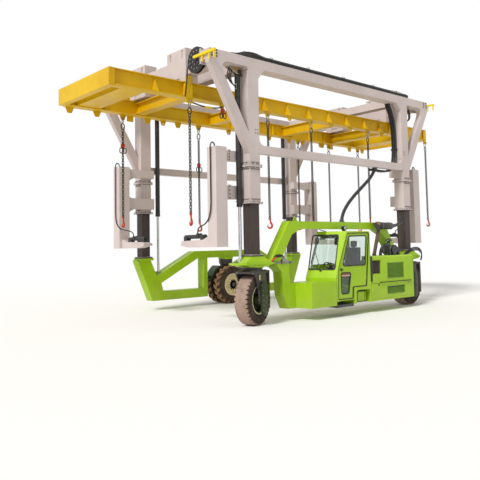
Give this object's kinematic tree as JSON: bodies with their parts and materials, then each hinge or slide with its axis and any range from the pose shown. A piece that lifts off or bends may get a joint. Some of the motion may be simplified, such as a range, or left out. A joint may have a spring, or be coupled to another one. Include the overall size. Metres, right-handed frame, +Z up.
{
  "type": "straddle carrier",
  "caption": "Straddle carrier: wheeled side chassis with cab and engine, sliding lift frame on masts, and a long chain spreader over an open load bay.",
  "frame": {"origin": "on the ground at the middle of the machine's outline", "axes": "+X forwards, +Y to the cab's side (left), +Z up"},
  "size_m": [12.192, 5.52, 6.43],
  "materials": {
    "lime_paint": "satin",
    "green_paint": "satin",
    "white_paint": "satin",
    "cream_paint": "satin",
    "yellow_paint": "satin",
    "orange_paint": "satin",
    "dark_steel": "satin",
    "mast_steel": "mill scale",
    "black_paint": "gloss",
    "grey_iron": "rough",
    "chrome": "polished",
    "galvanised": "dull",
    "tyre": "matt",
    "rubber_hose": "matt",
    "plastic": "matt",
    "glazing": "clear"
  },
  "bodies": {
    "chassis": {"chassis_left": "lime_paint", "decks_left": "lime_paint", "arch_left": "lime_paint", "chassis_right": "lime_paint", "mudguards_right": "green_paint", "masts": "mast_steel", "lift_rods": "chrome", "cab_shell": "lime_paint", "cab_glass": "glazing", "cab_inside": "plastic", "storage_box": "lime_paint", "step": "galvanised", "engine_housing": "lime_paint", "engine_block": "grey_iron", "grilles": "green_paint", "cooler": "dark_steel", "muffler": "black_paint", "air_cleaner": "black_paint", "work_lamp": "black_paint", "umbilical": "rubber_hose"},
    "cab_door": {"cab_door": "lime_paint", "door_glass": "glazing"},
    "fork_front_left": {"fork_front_left": "dark_steel"},
    "wheel_front_left": {"tyre_front_left": "tyre", "rim_front_left": "green_paint"},
    "fork_rear_left": {"fork_rear_left": "dark_steel"},
    "wheel_rear_left": {"tyre_rear_left": "tyre", "rim_rear_left": "green_paint"},
    "knuckle_right": {"knuckle_right": "dark_steel"},
    "wheel_right": {"tyres_right": "tyre", "rims_right": "cream_paint"},
    "lift_frame": {"top_beams": "white_paint", "lower_beams": "white_paint", "sleeves": "white_paint", "braces": "white_paint", "cross_beams": "white_paint", "lift_barrels": "black_paint", "legs": "white_paint", "foot_arms": "white_paint", "foot_gear": "black_paint", "reel": "dark_steel", "lamp_brackets": "yellow_paint", "frame_hoses": "rubber_hose"},
    "spreader": {"spreader_beams": "yellow_paint", "spreader_cross": "yellow_paint", "trolleys": "white_paint", "lugs": "yellow_paint", "chains": "grey_iron", "hooks": "orange_paint"}
  },
  "joints": [
    {"name": "lift", "type": "slide", "parent": "chassis", "child": "lift_frame", "axis": [0, 0, 1], "range_m": [-1.1, 1.1], "deforming": ["umbilical"]},
    {"name": "side_shift", "type": "slide", "parent": "lift_frame", "child": "spreader", "axis": [0, 1, 0], "range_m": [-0.15, 0.15]},
    {"name": "steer_front_left", "type": "hinge", "parent": "chassis", "child": "fork_front_left", "pos_m": [3.03, 2.16, 0.57], "axis": [0, 0, 1], "range_deg": [-108.5, 71.5]},
    {"name": "spin_front_left", "type": "hinge", "parent": "fork_front_left", "child": "wheel_front_left", "pos_m": [3.03, 2.16, 0.57], "axis": [-0.3173, 0.9483, 0], "continuous": true},
    {"name": "steer_rear_left", "type": "hinge", "parent": "chassis", "child": "fork_rear_left", "pos_m": [-3.03, 2.16, 0.57], "axis": [0, 0, 1], "range_deg": [-90, 90]},
    {"name": "spin_rear_left", "type": "hinge", "parent": "fork_rear_left", "child": "wheel_rear_left", "pos_m": [-3.03, 2.16, 0.57], "axis": [0, 1, 0], "continuous": true},
    {"name": "steer_right", "type": "hinge", "parent": "chassis", "child": "knuckle_right", "pos_m": [0, -2.4, 0.585], "axis": [0, 0, 1], "range_deg": [-90, 90]},
    {"name": "spin_right", "type": "hinge", "parent": "knuckle_right", "child": "wheel_right", "pos_m": [0, -2.4, 0.585], "axis": [0, 1, 0], "continuous": true},
    {"name": "cab_door_hinge", "type": "hinge", "parent": "chassis", "child": "cab_door", "pos_m": [-0.38988, 2.75, 0.71779], "axis": [-0.1106, 0, 0.9939], "range_deg": [0, 95]}
  ]
}
